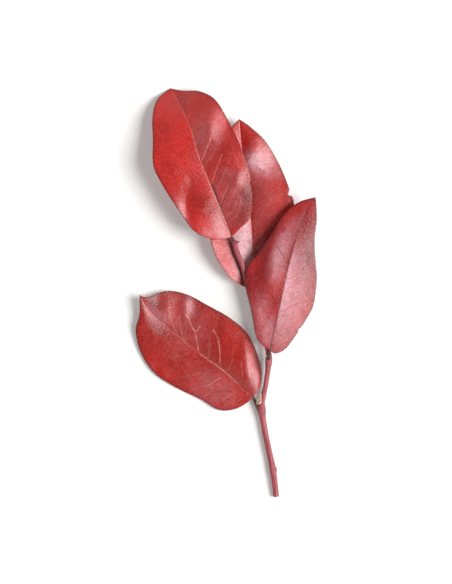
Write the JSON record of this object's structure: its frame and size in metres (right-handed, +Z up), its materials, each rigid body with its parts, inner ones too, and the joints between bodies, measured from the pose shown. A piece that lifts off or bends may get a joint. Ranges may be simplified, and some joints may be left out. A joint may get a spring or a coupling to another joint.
{
  "type": "dried salal stem",
  "caption": "Dried, dyed leafy stem lying flat: a slender woody stem with broad leathery leaves set alternately, for arrangements and table dressing.",
  "frame": {"origin": "centre of the part's box in X and Y, on the surface that it lies on", "axes": "+Y from the stem's cut end towards the top leaf, +Z up from the surface, +X to the right seen from above"},
  "size_m": [0.0976, 0.2205, 0.0157],
  "materials": {
    "stem_bark": "matt dyed bark",
    "dyed_leaf": "satin dyed leaf"
  },
  "bodies": {
    "root": {"stem": "stem_bark", "leaf_low": "dyed_leaf", "leaf_right": "dyed_leaf", "leaf_back": "dyed_leaf", "leaf_top": "dyed_leaf"}
  },
  "joints": []
}
